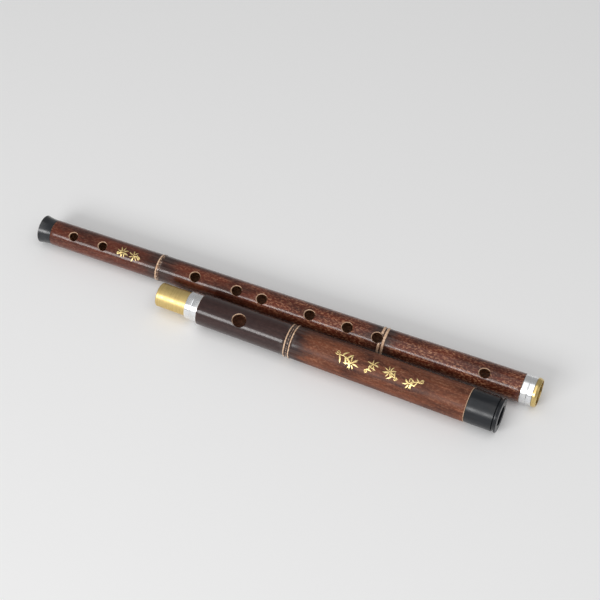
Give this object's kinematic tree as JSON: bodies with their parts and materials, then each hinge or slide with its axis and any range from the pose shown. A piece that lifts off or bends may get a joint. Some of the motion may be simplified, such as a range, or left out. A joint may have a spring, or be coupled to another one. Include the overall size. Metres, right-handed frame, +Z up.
{
  "type": "transverse bamboo flute",
  "caption": "Side-blown bamboo flute in two sections, taken apart and laid side by side, with horn ends, a bright ferrule and collar, a brass tenon and socket, and a cork plug",
  "frame": {"origin": "middle of the footprint, on the surface that both sections lie on", "axes": "+X along the body section, from its foot end towards its socket; the head section lies on the -Y side with its tenon towards -X, turned 1.2 degrees away from the body section; +Z up; the holes lean 30 degrees from +Z towards -Y"},
  "size_m": [0.4072, 0.0556, 0.0261],
  "materials": {
    "bamboo": "glossy lacquer over dark reddish-brown bamboo",
    "horn": "polished black horn",
    "bright_metal": "mirror polish",
    "brass": "fine turned satin",
    "cork": "plain cork"
  },
  "bodies": {
    "body_section": {"body_tube": "bamboo", "body_foot_ring": "horn", "body_ferrule": "bright_metal", "body_socket_liner": "brass"},
    "head_section": {"head_tube": "bamboo", "head_tenon": "brass", "head_collar": "bright_metal", "head_cap": "horn"},
    "plug": {"head_plug": "cork"}
  },
  "joints": [
    {"name": "head_section_turn", "type": "hinge", "parent": "body_section", "child": "head_section", "pos_m": [-0.01832, -0.01056, 0.01305], "axis": [0.9998, -0.0209, 0], "continuous": true},
    {"name": "plug_slide", "type": "slide", "parent": "head_section", "child": "plug", "axis": [0.9998, -0.0209, 0], "range_m": [-0.004, 0.008]}
  ]
}
